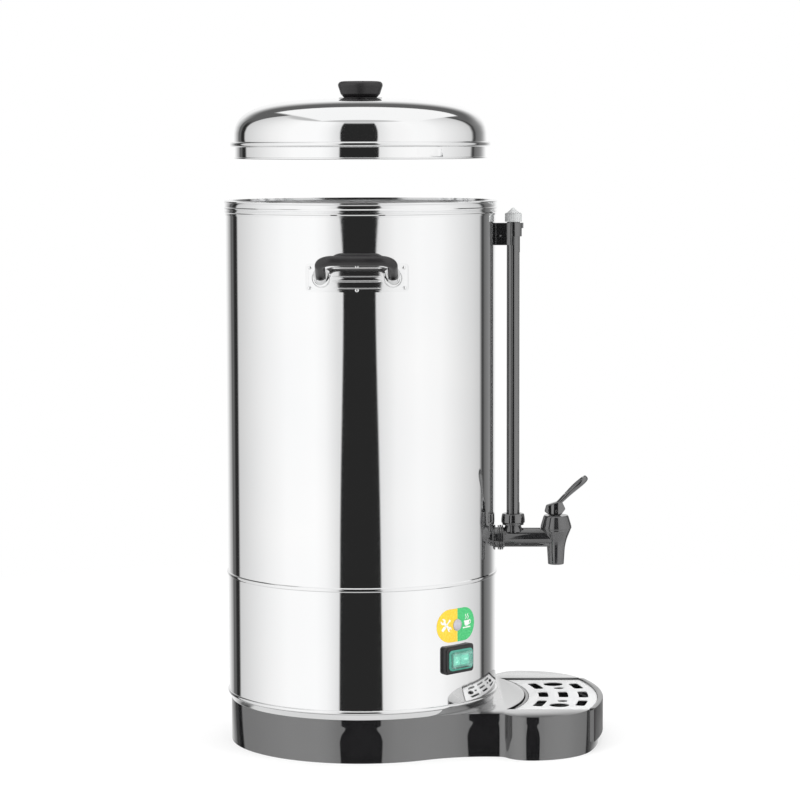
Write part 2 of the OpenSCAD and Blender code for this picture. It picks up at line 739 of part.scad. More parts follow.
module heater_plate() color("#aeb1b5") translate([0, 0, heater_z]) cylinder(r = heater_r, h = heater_t);

module heating_element() color("#8d9094") translate([0, 0, coil_z]) {
    rotate([0, 0, coil_a]) rotate_extrude(angle = 360 - 2 * coil_a) translate([coil_r, 0]) circle(coil_rod);
    for (a = [-1, 1]) translate(polar(coil_r, a * (coil_a + 6))) translate([0, 0, -coil_leg_l])
        cylinder(r = coil_leg_r, h = coil_leg_l);
}

module disc_control(h) {
    cylinder(r = 8, h = h);
    translate([-11.5, -3, h - 1]) cube([23, 6, 1]);
    for (s = [-1, 1]) translate([s * 4 - 0.4, -3, -8]) cube([0.8, 6, 8]);
}

module thermostat() color("#e4dfd2") translate([18, 0, heater_z - 9]) disc_control(9);

module dry_boil_cutout() color("#cfc8b8") translate([-20, 0, heater_z - 12]) disc_control(12);

module terminal_block() color("#dcdcd6") translate([-50, -24, cover_z + cover_t]) difference() {
    cube([18, 48, 16]);
    for (i = [0 : 3]) translate([-cut, 6 + 12 * i, 8]) rotate([0, 90, 0]) cylinder(r = 2.2, h = 20);
    for (i = [0 : 3], x = [5, 13]) translate([x, 6 + 12 * i, 8]) cylinder(r = 2, h = 9);
}

// ---- drip tray ----

// Space between two radii, limited in width, from one height to another
module drawer_space(r_in, r_out, hw, low, high) {
    intersection() {
        translate([0, 0, low]) ring(r_out, r_in, high - low);
        translate([0, -hw, low - cut]) cube([2 * end_r, 2 * hw, high - low + 2 * cut]);
    }
}

module drip_tray() color("#17171a") difference() {
    union() {
        drawer_space(tray_r, panel_r, drawer_hw, tray_z, grille_z + grille_t);
        drawer_space(panel_r - panel_t, panel_r, drawer_hw, tray_z, base_h);
    }
    drawer_space(tray_r + tray_wall, panel_r - panel_t, drawer_hw - tray_wall, ledge_z, base_h + cut);
    drawer_space(tray_r + tray_wall + ledge_w, panel_r - panel_t - ledge_w,
                 drawer_hw - tray_wall - ledge_w, tray_z + tray_wall, base_h);
}

// Slot that follows a circle about the urn's axis, with round ends
module arc_slot(r, from, to) {
    low = grille_z - cut;
    high = grille_z + grille_t + cut;
    end_a = slot_corner / r * 180 / PI;
    ring_part(r - slot_w / 2, r + slot_w / 2, low, high, from + end_a, to - end_a);
    ring_part(r - slot_w / 2 + slot_corner, r + slot_w / 2 - slot_corner, low, high, from, to);
    for (a = [from + end_a, to - end_a], d = [-1, 1])
        translate(polar(r + d * (slot_w / 2 - slot_corner), a)) translate([0, 0, low])
            cylinder(r = slot_corner + merge, h = high - low);
}

module grille() color("#e3e5e7") difference() {
    drawer_space(tray_r + tray_wall + grille_gap, panel_r - panel_t - grille_gap,
                 drawer_hw - tray_wall - grille_gap, grille_z, grille_z + grille_t);
    for (r = grille_rows) arc_slot(r, -4.1, 4.1);
    for (s = [-1, 1]) {
        arc_slot(grille_rows[0], s > 0 ? 9.2 : -18.9, s > 0 ? 18.9 : -9.2);
        arc_slot(grille_rows[2], s > 0 ? 7.7 : -15, s > 0 ? 15 : -7.7);
        for (hole = [[9.4, 4.9], [15.4, 9.3]])
            translate(polar(grille_rows[1], s * hole[0])) translate([0, 0, grille_z - cut])
                cylinder(r = hole[1], h = grille_t + 2 * cut);
    }
}

// ---- lid, drawn with its bead at height 0 ----

// Height of the dome at distance r from the axis, for a dome of radius big and height h
function dome(r, big, h) = h * (1 - (r / big)^3)^0.28;

// Points of the dome from its edge to its crown, closer together at the edge
function dome_line(big, h) =
    [for (i = [0 : dome_steps]) let (r = big * cos(90 * i / dome_steps)^0.7) [r, dome(r, big, h)]];

// L-shaped notch about direction a, grown by the wall of sheet around it
module lid_pocket(a, grow, r_in, r_out, low) {
    half = pocket_a / 2;
    side = grow / skirt_r * 180 / PI;
    difference() {
        ring_part(r_in, r_out, low, pocket_top + grow, a - half - side, a + half + side);
        ring_part(r_in - cut, r_out + cut, low - cut, leg_floor - grow,
                  a - half - side - 2, a + half - entry_a - side);
    }
}

module lid_shell() color("#d4d7da") translate([0, 0, lid_z]) difference() {
    union() {
        rotate_extrude() {
            polygon(concat(dome_line(dome_r, dome_h),
                           [for (i = [dome_steps : -1 : 0])
                               dome_line(dome_r - sheet, dome_h - sheet)[i]]));
            translate([skirt_r - sheet, -skirt_h]) square([sheet, skirt_h + 0.5]);
            translate([skirt_r - sheet, -0.5]) square([dome_r + 0.5 - skirt_r, 1]);
            translate([roll_c - 0.4, 0]) circle(roll_r);
        }
        for (s = [0, 180]) lid_pocket(notch_angle + s, sheet, skirt_r - pocket_in - sheet,
                                      skirt_r - sheet / 2, -skirt_h + sheet / 4);
    }
    for (s = [0, 180]) lid_pocket(notch_angle + s, 0, skirt_r - pocket_in, skirt_r + cut,
                                  -skirt_h - cut);
    translate([0, 0, dome_h - 5]) cylinder(r = screw_r + 0.3, h = 10);
}

module lid_plate() color("#1a1a1c") translate([0, 0, lid_z + dome_h])
    ring(knob_d / 2 - 0.8, screw_r + 0.3, knob_plate_t);

module lid_knob() color("#1e1e20") translate([0, 0, lid_z + dome_h + knob_plate_t])
    rotate_extrude() difference() {
        polygon([[0, 0], [knob_foot_r, 0], [knob_foot_r + 0.8, 0.6], [knob_foot_r + 3.4, 3.6],
                 [knob_d / 2 - 0.9, knob_h - 6.6], [knob_d / 2, knob_h - 4],
                 [knob_d / 2 - 0.3, knob_h - 2], [knob_d / 2 - 1.6, knob_h - 0.6],
                 [knob_d / 2 - 3.6, knob_h], [0, knob_h]]);
        translate([0, -cut]) square([screw_r + 0.3, 9 + cut]);
    }

module lid_screw() color("#b9bcc0") translate([0, 0, lid_z + dome_h]) {
    translate([0, 0, -sheet - 2.8]) cylinder(r = 5, h = 2.6);
    translate([0, 0, -sheet - 1]) cylinder(r = screw_r, h = 9 + sheet);
}

// ---- assembly ----

base_moulding();
nose_moulding();
tray_cradle();
pad(0);  // pad_1
pad(1);  // pad_2
pad(2);  // pad_3
pad(3);  // pad_4
pad(4);  // pad_5
pad(5);  // pad_6
bottom_cover();
cable_gland();
foot_ring();
lower_housing();
seam_bead();
outer_shell();
inner_tank();
tank_floor();
rim_ring();
mouth_lug(1);  // mouth_lug_1
mouth_lug(2);  // mouth_lug_2
color("#dde0e2") facing(handle_angle) handle_plate();  // handle_plate_front
color("#dde0e2") facing(handle_angle + 180) handle_plate();  // handle_plate_back
color("#c9ccd0") facing(handle_angle) handle_socket(-1);  // handle_socket_1
color("#c9ccd0") facing(handle_angle) handle_socket(1);  // handle_socket_2
color("#c9ccd0") facing(handle_angle + 180) handle_socket(-1);  // handle_socket_3
color("#c9ccd0") facing(handle_angle + 180) handle_socket(1);  // handle_socket_4
color("#1e1e20") facing(handle_angle) handle_grip();  // handle_grip_front
color("#1e1e20") facing(handle_angle + 180) handle_grip();  // handle_grip_back
sight_bracket();
sight_guard();
sight_glass();
sight_cap();
sight_nut();
sight_seal();
tap_body();
tap_collar();
tap_spacer();
tap_back_nut();
tap_bonnet();
tap_seat();
tap_stem();
tap_lever();
lever_pin();
switch_bezel();
switch_rocker();
switch_cover();
color("#f2cf3a") label_half(-1);  // label_service
color("#45c877") label_half(1);  // label_ready
indicator_lens();
heater_plate();
heating_element();
thermostat();
dry_boil_cutout();
terminal_block();
drip_tray();
grille();
lid_shell();
lid_knob();
lid_plate();
lid_screw();
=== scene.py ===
import json
import math

import bmesh
import bpy
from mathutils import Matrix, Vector

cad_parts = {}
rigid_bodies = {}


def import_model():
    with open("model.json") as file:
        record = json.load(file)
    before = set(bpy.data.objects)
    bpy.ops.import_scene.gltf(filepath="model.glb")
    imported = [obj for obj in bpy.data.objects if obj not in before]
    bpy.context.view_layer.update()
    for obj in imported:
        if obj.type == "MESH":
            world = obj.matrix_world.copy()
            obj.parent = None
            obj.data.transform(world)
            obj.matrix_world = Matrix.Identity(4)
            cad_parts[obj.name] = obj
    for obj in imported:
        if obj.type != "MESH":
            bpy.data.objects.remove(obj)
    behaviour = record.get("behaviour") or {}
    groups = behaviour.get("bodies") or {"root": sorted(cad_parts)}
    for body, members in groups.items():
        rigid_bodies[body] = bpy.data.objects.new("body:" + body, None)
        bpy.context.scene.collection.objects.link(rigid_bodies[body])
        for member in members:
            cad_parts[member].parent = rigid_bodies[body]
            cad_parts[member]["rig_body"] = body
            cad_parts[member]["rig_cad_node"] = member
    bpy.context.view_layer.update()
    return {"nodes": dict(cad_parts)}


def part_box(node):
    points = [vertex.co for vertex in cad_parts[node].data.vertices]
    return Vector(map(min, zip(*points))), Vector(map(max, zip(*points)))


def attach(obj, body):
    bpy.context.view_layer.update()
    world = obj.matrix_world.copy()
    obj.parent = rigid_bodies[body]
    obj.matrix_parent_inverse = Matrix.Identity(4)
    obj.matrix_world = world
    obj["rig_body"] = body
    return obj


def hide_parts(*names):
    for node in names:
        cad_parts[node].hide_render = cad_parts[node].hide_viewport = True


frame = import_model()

MM = 0.001    # one millimetre; the frame is in metres
nodes = frame["nodes"]


# ---------------------------------------------------------------------------
# Camera
# ---------------------------------------------------------------------------

def view_camera():
    """Long lens, level with the middle of the shell and tipped slightly down."""
    camera = bpy.data.cameras.new("camera")
    camera.lens = 126
    camera.sensor_width = 36
    holder = bpy.data.objects.new("camera", camera)
    bpy.context.scene.collection.objects.link(holder)
    holder.location = (0.0272, -2.5985, 0.5551)
    holder.rotation_euler = (math.radians(84.763), math.radians(0.148), math.radians(-0.204))
    bpy.context.scene.camera = holder


view_camera()


# ---------------------------------------------------------------------------
# Sizes, taken from the frame
# ---------------------------------------------------------------------------

def middle_of(node):
    low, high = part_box(node)
    return (low + high) / 2


def size_of(node):
    low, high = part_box(node)
    return high - low


body_r = size_of("outer_shell").x / 2
tank_r = size_of("inner_tank").x / 2
handle_z = middle_of("handle_plate_front").z
spout_x = middle_of("tap_bonnet").x
lever_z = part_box("tap_lever")[0].z
sight_x = middle_of("sight_guard").x
cap_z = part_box("sight_guard")[1].z
nut_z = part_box("sight_nut")[0].z
switch_z = middle_of("switch_cover").z
label_z = middle_of("indicator_lens").z
deck_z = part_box("base_moulding")[1].z
nose_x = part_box("nose_moulding")[0].x
switch_face = body_r / MM + 4.2     # front of the switch frame, in millimetres from the axis

FRONT_HANDLE = math.radians(-1.1)   # turn from -Y
CONTROLS = math.radians(44)         # turn from -Y


# ---------------------------------------------------------------------------
# Material helpers
# ---------------------------------------------------------------------------

class NodeTree:
    """Short ways to add nodes to the tree of a material or of the world."""

    def __init__(self, tree):
        self.tree = tree

    def node(self, kind, **settings):
        new = self.tree.nodes.new(kind)
        for key, value in settings.items():
            setattr(new, key, value)
        return new

    def link(self, source, target):
        self.tree.links.new(source, target)

    def feed(self, sockets, values):
        """Sets each socket to its number, or links its value to it."""
        for socket, value in zip(sockets, values):
            if isinstance(value, (int, float)):
                socket.default_value = value
            else:
                self.link(value, socket)

    def math(self, operation, *values):
        step = self.node("ShaderNodeMath", operation=operation)
        self.feed(step.inputs, values)
        return step.outputs["Value"]

    def spread(self, value, low, high, from_low=0.3, from_high=0.7, curve="LINEAR"):
        """A value moved into the range from low to high."""
        reach = self.node("ShaderNodeMapRange", interpolation_type=curve)
        names = ("Value", "From Min", "From Max", "To Min", "To Max")
        self.feed([reach.inputs[name] for name in names], (value, from_low, from_high, low, high))
        return reach.outputs["Result"]


class Finish(NodeTree):
    """A material under construction: its node tree, its shader and short ways to set it up."""

    def __init__(self, name):
        self.material = bpy.data.materials.new(name)
        self.material.use_nodes = True
        super().__init__(self.material.node_tree)
        self.shader = self.tree.nodes["Principled BSDF"]
        self.place = self.node("ShaderNodeTexCoord").outputs["Object"]

    def set(self, **values):
        for key, value in values.items():
            self.shader.inputs[key.replace("_", " ")].default_value = value

    def stretched(self, scale):
        """Object coordinates in metres, multiplied along each axis."""
        mapping = self.node("ShaderNodeMapping")
        mapping.inputs["Scale"].default_value = scale
        self.link(self.place, mapping.inputs["Vector"])
        return mapping.outputs["Vector"]

    def noise(self, vector, scale, detail=3.0, roughness=0.55):
        texture = self.node("ShaderNodeTexNoise")
        sockets = [texture.inputs[name] for name in ("Vector", "Scale", "Detail", "Roughness")]
        self.feed(sockets, (vector, scale, detail, roughness))
        return texture.outputs["Fac"]

    def two_tone(self, value, dark, light):
        ramp = self.node("ShaderNodeValToRGB")
        for stop, place, colour in zip(ramp.color_ramp.elements, (0.3, 0.7), (dark, light)):
            stop.position = place
            stop.color = (*colour, 1)
        self.link(value, ramp.inputs["Fac"])
        self.link(ramp.outputs["Color"], self.shader.inputs["Base Color"])

    def roughness(self, value, low, high):
        self.link(self.spread(value, low, high), self.shader.inputs["Roughness"])

    def bump(self, value, strength, distance):
        relief = self.node("ShaderNodeBump")
        sockets = [relief.inputs[name] for name in ("Height", "Strength", "Distance")]
        self.feed(sockets, (value, strength, distance))
        self.link(relief.outputs["Normal"], self.shader.inputs["Normal"])

    def dress(self, *names):
        """Puts the material on CAD nodes."""
        for name in names:
            slots = nodes[name].data.materials
            slots.clear()
            slots.append(self.material)


# ---------------------------------------------------------------------------
# Finishes
# ---------------------------------------------------------------------------

def one_grain(name, scale, detail, dark, light, rough, relief=None, harshness=0.55, **values):
    """A finish whose tone, roughness and relief all follow one noise.

    Three scales in place of one stretch the noise along the axes. Rough is a range, relief a
    strength and a distance, and the rest goes to the shader's own sockets.
    """
    finish = Finish(name)
    if isinstance(scale, tuple):
        grain = finish.noise(finish.stretched(scale), 1.0, detail, harshness)
    else:
        grain = finish.noise(finish.place, scale, detail, harshness)
    finish.two_tone(grain, dark, light)
    finish.roughness(grain, *rough)
    if relief:
        finish.bump(grain, *relief)
    finish.set(**values)
    return finish


def polished_steel():
    """Mirror-polished sheet with faint polishing lines that run around the urn."""
    steel = Finish("polished_steel")
    steel.set(Metallic=1.0)
    lines = steel.noise(steel.stretched((60, 60, 2600)), 1.0, 4.0, 0.7)
    patches = steel.noise(steel.place, 9.0, 2.0)
    steel.two_tone(patches, (0.9, 0.905, 0.91), (0.93, 0.93, 0.93))
    steel.roughness(lines, 0.03, 0.07)
    steel.bump(lines, 0.008, 0.00005)
    return steel


def gloss_black(name, bounce, depth):
    """Polished black moulding; bounce is how strongly it mirrors, depth how dark it is."""
    return one_grain(name, 28.0, 4.0, (depth, depth, depth * 1.1),
                     (depth * 1.6, depth * 1.6, depth * 1.7), (0.02, 0.04), harshness=0.6,
                     IOR=bounce, Specular_IOR_Level=0.75)


def satin_black():
    """Fine-grained black moulding of the knob and the grips."""
    plastic = one_grain("satin_black", 40.0, 4.0, (0.012, 0.011, 0.012), (0.02, 0.019, 0.02),
                        (0.32, 0.42), harshness=0.6, IOR=1.52)
    plastic.bump(plastic.noise(plastic.place, 2600.0, 2.0), 0.08, 0.00006)
    return plastic


def film(name, dark, light):
    """Printed plastic film."""
    return one_grain(name, 700.0, 2.0, dark, light, (0.22, 0.32), (0.04, 0.00005))


polished = polished_steel()
# rolled and turned bright steel of the rings, the lid and the handle sockets
trim = one_grain("trim_steel", (90, 90, 3000), 3.0, (0.87, 0.875, 0.88), (0.91, 0.91, 0.91),
                 (0.06, 0.1), harshness=0.6, Metallic=1.0)
# satin steel of the tank's inside
tank_inside = one_grain("brushed_steel", (25, 25, 1800), 5.0, (0.88, 0.885, 0.89),
                        (0.94, 0.94, 0.94), (0.3, 0.42), (0.02, 0.00005), 0.7, Metallic=1.0)
# pressed plate with a fine cross grain
plate_steel = one_grain("grille_steel", (2200, 60, 60), 4.0, (0.93, 0.935, 0.94),
                        (0.98, 0.98, 0.98), (0.34, 0.44), (0.03, 0.00005), 0.7,
                        Metallic=0.4, Specular_IOR_Level=0.8)
# turned steel of nuts, screws, the stem and the pin
machined = one_grain("machined_steel", (400, 400, 5000), 3.0, (0.5, 0.5, 0.51),
                     (0.66, 0.66, 0.66), (0.18, 0.3), (0.08, 0.0001), 0.6, Metallic=1.0)
moulded_black = gloss_black("gloss_black", 2.1, 0.008)
tap_black = gloss_black("tap_black", 1.92, 0.016)
# the moulding's flat deck, wiped to a brighter gloss
deck_gloss = one_grain("deck_black", 28.0, 4.0, (0.01, 0.01, 0.011), (0.016, 0.016, 0.017),
                       (0.06, 0.12), harshness=0.6, IOR=2.1, Specular_IOR_Level=0.9,
                       Coat_Weight=1.0, Coat_IOR=1.7, Coat_Roughness=0.06,
                       Sheen_Weight=0.8, Sheen_Roughness=0.22)
grip_black = satin_black()
rubber = one_grain("black_rubber", 1500.0, 3.0, (0.018, 0.018, 0.018), (0.035, 0.035, 0.035),
                   (0.65, 0.85), (0.3, 0.0001))
# dark powder coat of the bottom cover
coat = one_grain("coated_steel", 900.0, 3.0, (0.05, 0.05, 0.052), (0.075, 0.075, 0.077),
                 (0.4, 0.55), (0.25, 0.00015))
glass = one_grain("clear_glass", 60.0, 3.0, (0.9, 0.97, 0.97), (0.96, 1.0, 1.0), (0.0, 0.03),
                  Transmission_Weight=1.0, IOR=1.47)
# frosted, milky cap of the gauge
clear = one_grain("clear_plastic", 300.0, 3.0, (0.54, 0.55, 0.55), (0.6, 0.61, 0.61),
                  (0.22, 0.3), IOR=1.5)
seal = one_grain("silicone", 200.0, 3.0, (0.66, 0.66, 0.63), (0.74, 0.74, 0.71), (0.45, 0.6),
                 Subsurface_Weight=0.3, Subsurface_Scale=0.003)
# soft rim of the switch cover, dark where it lies on the black frame, and its clear front
flange_green = one_grain("green_flange", 220.0, 3.0, (0.1, 0.42, 0.32), (0.14, 0.5, 0.39),
                         (0.14, 0.24), Transmission_Weight=0.2, IOR=1.42)
window_green = one_grain("green_window", 220.0, 3.0, (0.78, 0.97, 0.93), (0.82, 0.98, 0.95),
                         (0.02, 0.05), Transmission_Weight=0.9, IOR=1.04, Coat_Weight=0.3)
# the rocker under the cover, its windows and its print; windows and print are given a painted glow,
# since no lamp lights them
rocker_green = one_grain("green_rocker", 300.0, 2.0, (0.06, 0.38, 0.28), (0.09, 0.44, 0.33),
                         (0.35, 0.45))
# painted glow: the emission makes the rocker's windows shine, though no lamp is lit behind them
green_painted_glow = one_grain("painted_glow_green", 300.0, 2.0, (0.03, 0.14, 0.1), (0.04, 0.18, 0.13),
                       (0.25, 0.35), Emission_Color=(0.11, 0.64, 0.44, 1), Emission_Strength=0.85)
# painted glow: the emission makes the printed marks shine as if lit from behind
mark_painted_glow = one_grain("printed_mark_painted_glow", 500.0, 2.0, (0.2, 0.4, 0.33), (0.25, 0.45, 0.38),
                       (0.3, 0.4), Emission_Color=(0.42, 0.86, 0.7, 1), Emission_Strength=0.75)
film_yellow = film("film_yellow", (0.88, 0.58, 0.035), (0.95, 0.66, 0.05))
film_green = film("film_green", (0.05, 0.5, 0.16), (0.07, 0.58, 0.2))
film_white = film("film_white", (0.84, 0.84, 0.82), (0.9, 0.9, 0.88))
pale_lens = one_grain("lens_plastic", 260.0, 3.0, (0.62, 0.6, 0.68), (0.76, 0.74, 0.8),
                      (0.1, 0.2), Transmission_Weight=0.3, IOR=1.49)
alloy = one_grain("cast_alloy", 500.0, 4.0, (0.4, 0.4, 0.41), (0.56, 0.56, 0.57), (0.4, 0.6),
                  (0.4, 0.0003), 0.7, Metallic=1.0)
# element sheath, tinted by heat along its length
sheath = one_grain("heated_steel", 22.0, 3.0, (0.28, 0.25, 0.24), (0.42, 0.38, 0.32),
                   (0.3, 0.45), Metallic=1.0)
ceramic_body = one_grain("ceramic", 1200.0, 3.0, (0.6, 0.57, 0.5), (0.72, 0.69, 0.62),
                         (0.45, 0.6))

polished.dress("lower_housing", "outer_shell", "lid_shell")
trim.dress("foot_ring", "seam_bead", "rim_ring", "handle_plate_front", "handle_plate_back",
           "handle_socket_1", "handle_socket_2", "handle_socket_3", "handle_socket_4")
tank_inside.dress("inner_tank", "tank_floor", "mouth_lug_1", "mouth_lug_2")
plate_steel.dress("grille")
machined.dress("tap_back_nut", "tap_stem", "lever_pin", "lid_screw")
moulded_black.dress("base_moulding", "nose_moulding", "tray_cradle", "drip_tray", "sight_bracket",
                    "sight_guard", "sight_nut", "tap_lever")
tap_black.dress("tap_body", "tap_collar", "tap_bonnet")
grip_black.dress("handle_grip_front", "handle_grip_back", "lid_knob", "lid_plate", "cable_gland",
                 "switch_bezel")
rubber.dress("pad_1", "pad_2", "pad_3", "pad_4", "pad_5", "pad_6")
coat.dress("bottom_cover")
glass.dress("sight_glass")
clear.dress("sight_cap")
seal.dress("sight_seal", "tap_spacer", "tap_seat")
window_green.dress("switch_cover")
rocker_green.dress("switch_rocker")
film_yellow.dress("label_service")
film_green.dress("label_ready")
pale_lens.dress("indicator_lens")
alloy.dress("heater_plate")
sheath.dress("heating_element")
ceramic_body.dress("thermostat", "dry_boil_cutout", "terminal_block")


# ---------------------------------------------------------------------------
# Modelling helpers
# ---------------------------------------------------------------------------

def put_down():
    """Object mode with nothing selected."""
    if bpy.context.mode != "OBJECT":
        bpy.ops.object.mode_set(mode="OBJECT")
    bpy.ops.object.select_all(action="DESELECT")


def take(*pieces):
    """Selects pieces in object mode; the first is the active one."""
    put_down()
    for piece in pieces:
        piece.select_set(True)
    bpy.context.view_layer.objects.active = pieces[0]


def open_mesh(piece):
    """Takes a piece and goes into its mesh."""
    take(piece)
    bpy.ops.object.mode_set(mode="EDIT")


def start(add, scale=None, **settings):
    """Adds a primitive, in millimetres, and opens it with nothing picked."""
    put_down()
    for key in ("location", "radius", "radius1", "radius2", "depth", "size",
                "major_radius", "minor_radius"):
        if key in settings:
            value = settings[key]
            listed = isinstance(value, tuple)
            settings[key] = tuple(v * MM for v in value) if listed else value * MM
    add(**settings)
    piece = bpy.context.active_object
    if scale:
        piece.scale = scale
    bpy.ops.object.transform_apply(location=True, rotation=True, scale=True)
    bpy.ops.object.mode_set(mode="EDIT")
    bpy.ops.mesh.select_all(action="DESELECT")
    return piece


def block(low, high):
    """A box between two corners, in millimetres."""
    spot = tuple((a + b) / 2 for a, b in zip(low, high))
    return start(bpy.ops.mesh.primitive_cube_add, size=1, location=spot,
                 scale=tuple(b - a for a, b in zip(low, high)))


def pick(piece, test, edges=False):
    """Picks the faces or edges whose middle, in millimetres, and direction pass the test."""
    bpy.context.tool_settings.mesh_select_mode = (False, edges, not edges)
    bpy.ops.mesh.select_all(action="DESELECT")
    mesh = bmesh.from_edit_mesh(piece.data)
    for element in mesh.edges if edges else mesh.faces:
        if edges:
            first, last = (end.co for end in element.verts)
            spot, way = (first + last) / 2, (last - first).normalized()
        else:
            spot, way = element.calc_center_median(), element.normal
        if test(spot / MM, way):
            element.select_set(True)
    bmesh.update_edit_mesh(piece.data)


def everything():
    bpy.ops.mesh.select_all(action="SELECT")


def face_outwards():
    everything()
    bpy.ops.mesh.normals_make_consistent(inside=False)


def merge_doubles(gap=0.002):
    everything()
    bpy.ops.mesh.remove_doubles(threshold=gap * MM)


def merge_flat():
    """Merges faces that lie in one plane."""
    everything()
    bpy.ops.mesh.dissolve_limited(angle_limit=math.radians(0.5))


def pull(move):
    """Extrudes what is picked and moves it, in millimetres."""
    bpy.ops.mesh.extrude_region_move(TRANSFORM_OT_translate={"value": tuple(v * MM for v in move)})


def shift(move):
    bpy.ops.transform.translate(value=tuple(v * MM for v in move))


def grow(factors, about=(0, 0, 0)):
    bpy.ops.transform.resize(value=factors, center_override=tuple(v * MM for v in about))


def inset(width, sink=0.0):
    bpy.ops.mesh.inset(thickness=width * MM, depth=sink * MM)


def round_off(width, segments, corners=False):
    bpy.ops.mesh.bevel(offset=width * MM, segments=segments,
                       affect="VERTICES" if corners else "EDGES")


def cut_at(spot, way, drop_outer=False):
    """Cuts the whole open mesh with a plane; what lies on the side that way points to may go."""
    everything()
    bpy.ops.mesh.bisect(plane_co=tuple(v * MM for v in spot), plane_no=way, clear_outer=drop_outer,
                        use_fill=drop_outer)


def shape_with(piece, kind, **settings):
    """Adds a modifier and applies it."""
    take(piece)
    modifier = piece.modifiers.new(kind.lower(), kind)
    for key, value in settings.items():
        setattr(modifier, key, value)
    bpy.ops.object.modifier_apply(modifier=modifier.name)
    return piece


def soften(piece, width, segments, angle=35):
    """Rounds every edge sharper than the angle."""
    return shape_with(piece, "BEVEL", width=width * MM, segments=segments, limit_method="ANGLE",
                      angle_limit=math.radians(angle))


def join(*pieces):
    take(*pieces)
    bpy.ops.object.join()
    return pieces[0]


def place(piece, turn=0.0, move=(0, 0, 0), axis=2):
    """Turns a piece about one of the frame's axes, moves it, and applies both."""
    take(piece)
    angles = [0.0, 0.0, 0.0]
    angles[axis] = turn
    piece.rotation_euler = angles
    piece.location = tuple(v * MM for v in move)
    bpy.ops.object.transform_apply(location=True, rotation=True, scale=True)
    return piece


def copy_of(piece):
    """A copy with its own mesh."""
    take(piece)
    bpy.ops.object.duplicate(linked=False)
    return bpy.context.active_object


def bend_round(piece, radius, step):
    """Wraps a piece drawn flat, facing -Y, round an upright cylinder about the axis."""
    take(piece)
    reach = [v.co.x / MM for v in piece.data.vertices]
    low, high = min(reach), max(reach)
    open_mesh(piece)
    for i in range(1, int((high - low) / step) + 1):
        cut_at((low + i * step, 0, 0), (1, 0, 0))
    shape_with(piece, "SIMPLE_DEFORM", deform_method="BEND", deform_axis="Z",
               angle=(high - low) / radius)
    return place(piece, move=(0, -radius, 0))


def tidy_shell(piece):
    """Merges doubles and turns every face outwards."""
    open_mesh(piece)
    merge_doubles()
    face_outwards()
    put_down()
    return piece


def hand_over(piece, name, finish, body, slot, *stands_for, smooth=35):
    """Names a piece, gives it its finish and lets it ride."""
    take(piece)
    piece.name = piece.data.name = name
    bpy.ops.object.shade_smooth_by_angle(angle=math.radians(smooth))
    piece.data.materials.clear()
    piece.data.materials.append(finish.material)
    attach(piece, body)
    for node in stands_for:
        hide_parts(node)


def second_finish(piece, finish, test):
    """Gives the faces that pass the test a finish of their own."""
    open_mesh(piece)
    piece.data.materials.append(finish.material)
    pick(piece, test)
    piece.active_material_index = len(piece.data.materials) - 1
    bpy.ops.object.material_slot_assign()
    put_down()


def merged_copy(*names):
    """One copy of CAD nodes, with their loose triangles merged into plain faces."""
    take(*(nodes[name] for name in names))
    bpy.ops.object.duplicate(linked=False)
    if len(names) > 1:
        bpy.ops.object.join()
    piece = bpy.context.active_object
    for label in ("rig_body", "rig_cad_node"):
        if label in piece:
            del piece[label]
    piece.parent = None
    if piece.data.has_custom_normals:
        bpy.ops.mesh.customdata_custom_splitnormals_clear()
    open_mesh(piece)
    merge_doubles()
    return piece


def rounded_copy(name, width, segments=2, angle=35):
    """A copy of a CAD node with its hard edges rounded."""
    piece = merged_copy(name)
    merge_flat()
    return soften(piece, width, segments, angle)


# ---------------------------------------------------------------------------
# Base, tray and grille
# ---------------------------------------------------------------------------

def rounded_base():
    """Foot and nose as the one moulding they are, with a soft edge all round."""
    piece = merged_copy("base_moulding", "nose_moulding")
    pick(piece, lambda spot, way: abs(spot.x - nose_x / MM) < 0.02 and abs(way.x) > 0.99)
    bpy.ops.mesh.delete(type="FACE")
    merge_doubles(0.05)
    merge_flat()
    soften(piece, 1.0, 3, 40)
    hand_over(piece, "base_rounded", moulded_black, "urn", "black_base",
              "base_moulding", "nose_moulding")
    second_finish(piece, deck_gloss, lambda spot, way: way.z > 0.5 and spot.z > deck_z / MM - 1.2)


def smooth_lid():
    """The pressed dome without its facets, with the rolled bead over its skirt and the hem below."""
    lid = rounded_copy("lid_shell", 0.3, 2, 50)
    hand_over(lid, "lid_dome", polished, "lid", "bright_steel", "lid_shell", smooth=30)
    low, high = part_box("lid_shell")
    edge = size_of("lid_shell").x / 2 / MM
    # each roll's height, the radius it runs at, and its own radius
    for name, height, reach, thick in (("lid_bead", high.z / MM - 42.0, edge - 1.2, 2.2),
                                       ("lid_hem", low.z / MM + 0.7, edge - 3.7, 0.9)):
        roll = start(bpy.ops.mesh.primitive_torus_add, major_segments=160, minor_segments=14,
                     major_radius=reach, minor_radius=thick, location=(0, 0, height))
        everything()
        grow((1, 1, 1.1), (0, 0, height))
        hand_over(roll, name, trim, "lid", "bright_steel", "lid_shell", smooth=60)


def rounded_nodes():
    """Mouldings and pressings whose edges catch the light."""
    for node, width, finish, body, slot in (
            ("drip_tray", 0.6, moulded_black, "tray", "black_base"),
            ("grille", 0.25, plate_steel, "tray_grille", "grille_steel"),
            ("tap_body", 0.3, tap_black, "urn", "black_gloss"),
            ("sight_bracket", 0.5, moulded_black, "urn", "black_gloss"),
            ("switch_bezel", 0.5, grip_black, "urn", "black_gloss"),
            ("cable_gland", 0.4, grip_black, "urn", "black_satin")):
        hand_over(rounded_copy(node, width), node + "_rounded", finish, body, slot, node)
    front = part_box("drip_tray")[1].x / MM
    second_finish(bpy.data.objects["drip_tray_rounded"], grip_black,
                  lambda spot, way: math.hypot(spot.x, spot.y) > front - 2 and way.x > 0.3)


